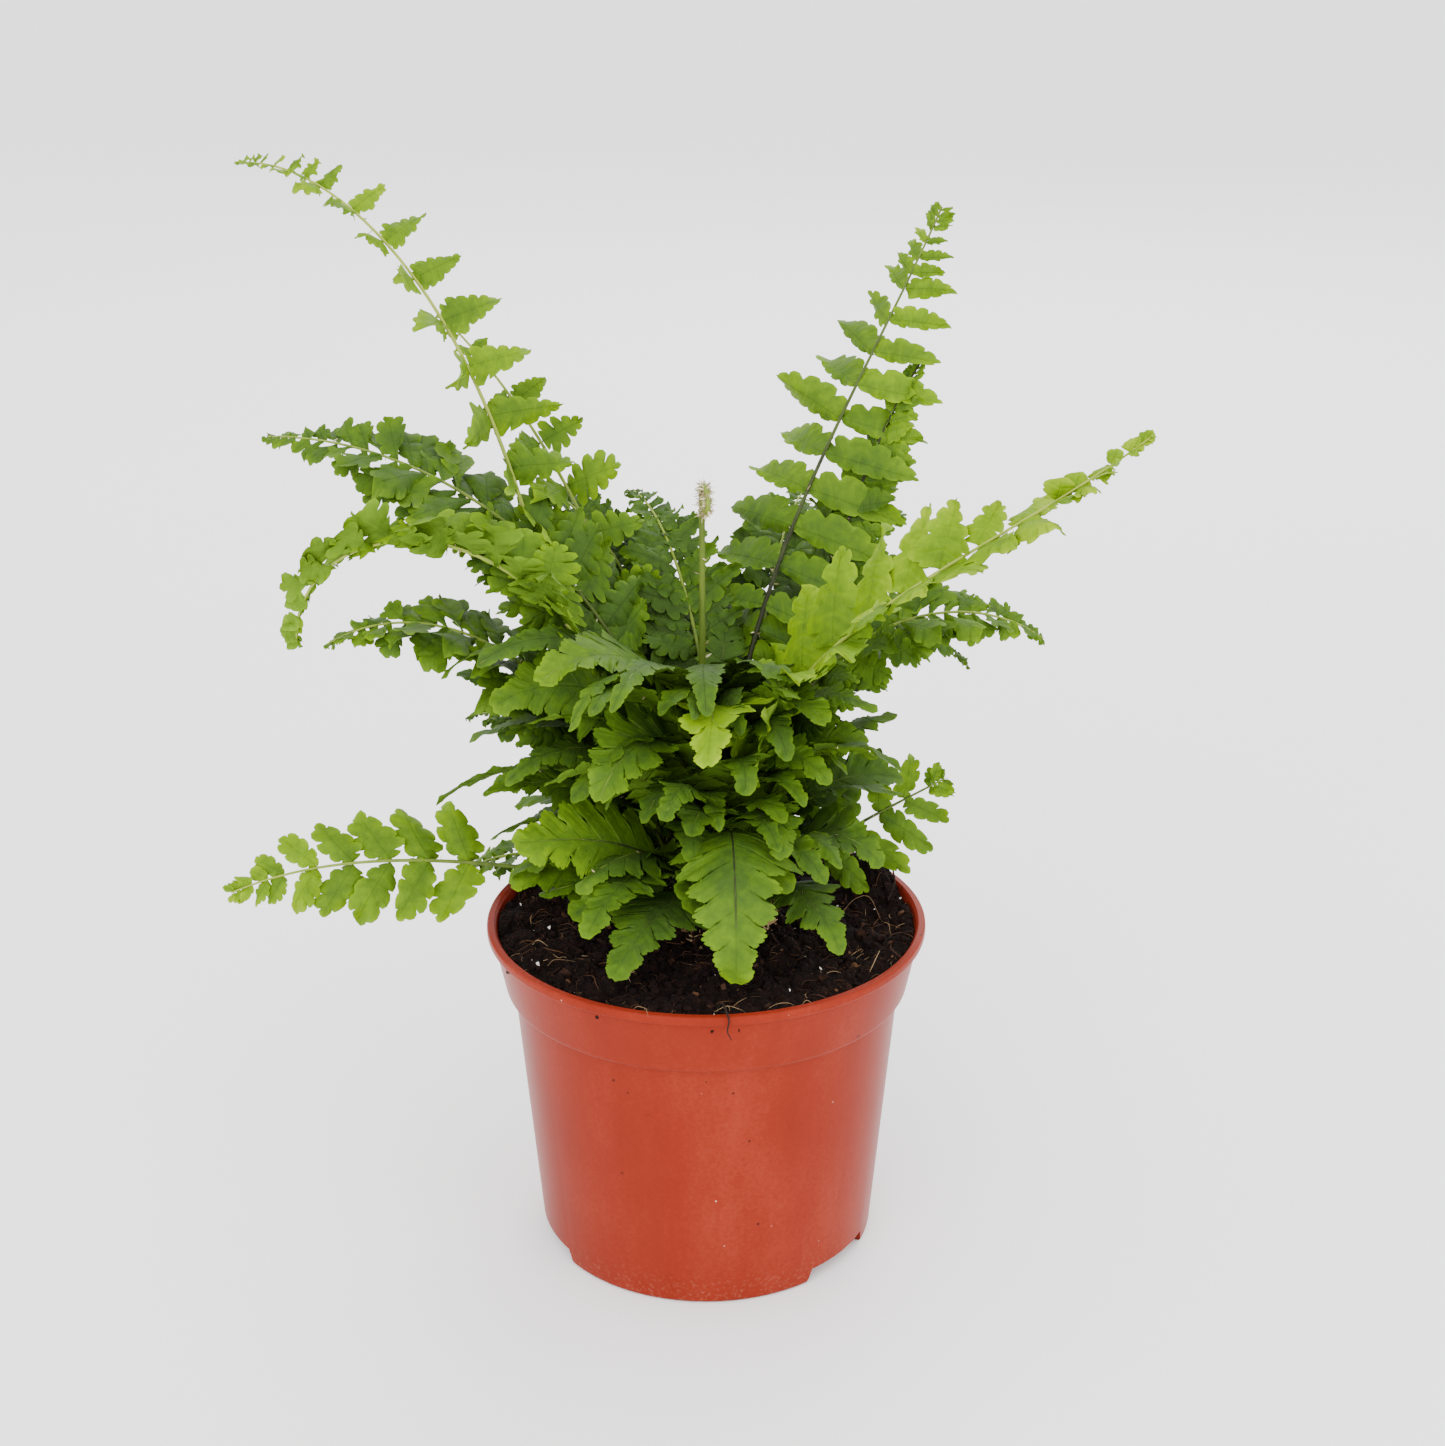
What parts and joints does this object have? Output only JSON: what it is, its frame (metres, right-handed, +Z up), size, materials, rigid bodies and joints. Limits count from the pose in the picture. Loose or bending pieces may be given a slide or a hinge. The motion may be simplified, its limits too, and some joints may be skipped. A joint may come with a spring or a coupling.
{
  "type": "potted wood fern",
  "caption": "Young wood fern with arching, lobed fronds and a fiddlehead, rooted in compost in a round terracotta plastic nursery pot.",
  "frame": {"origin": "centre of the pot's flat underside, where it stands", "axes": "+Z up, the pictured front faces -Y"},
  "size_m": [0.2357, 0.1667, 0.2912],
  "materials": {
    "pot": "satin moulded plastic",
    "compost": "damp fibrous potting compost",
    "rhizome": "scaly, hairy rhizome",
    "fiddlehead": "hairy coiled young frond",
    "leaf": "soft leaf with a slight sheen",
    "young_leaf": "soft young leaf with a slight sheen"
  },
  "bodies": {
    "root": {"pot": "pot", "soil": "compost", "crown": "rhizome", "fiddlehead": "fiddlehead", "frond_tall_left": "leaf", "frond_left_inner": "leaf", "frond_tall_right": "leaf", "frond_right_inner": "leaf", "frond_right_long": "leaf", "frond_right_far": "leaf", "frond_left_dark": "leaf", "frond_left_pale": "leaf", "frond_left_low": "leaf", "frond_left_lowest": "leaf", "frond_right_low": "leaf", "frond_back_tall": "leaf", "frond_back_left": "leaf", "frond_back_right": "leaf", "frond_back_low": "leaf", "frond_back_low_left": "leaf", "frond_back_low_right": "leaf", "frond_left_hanging": "leaf", "young_middle_left": "young_leaf", "young_middle_front": "young_leaf", "young_left_wide": "young_leaf", "young_left_short": "young_leaf", "young_front_hanging": "young_leaf", "young_front_left": "young_leaf", "young_left_flat": "young_leaf", "young_left_flat_low": "young_leaf", "young_front_right": "young_leaf", "young_middle_right": "young_leaf", "young_right_low": "young_leaf", "young_inner_left": "young_leaf", "young_inner_right": "young_leaf", "young_low_front": "young_leaf"}
  },
  "joints": []
}
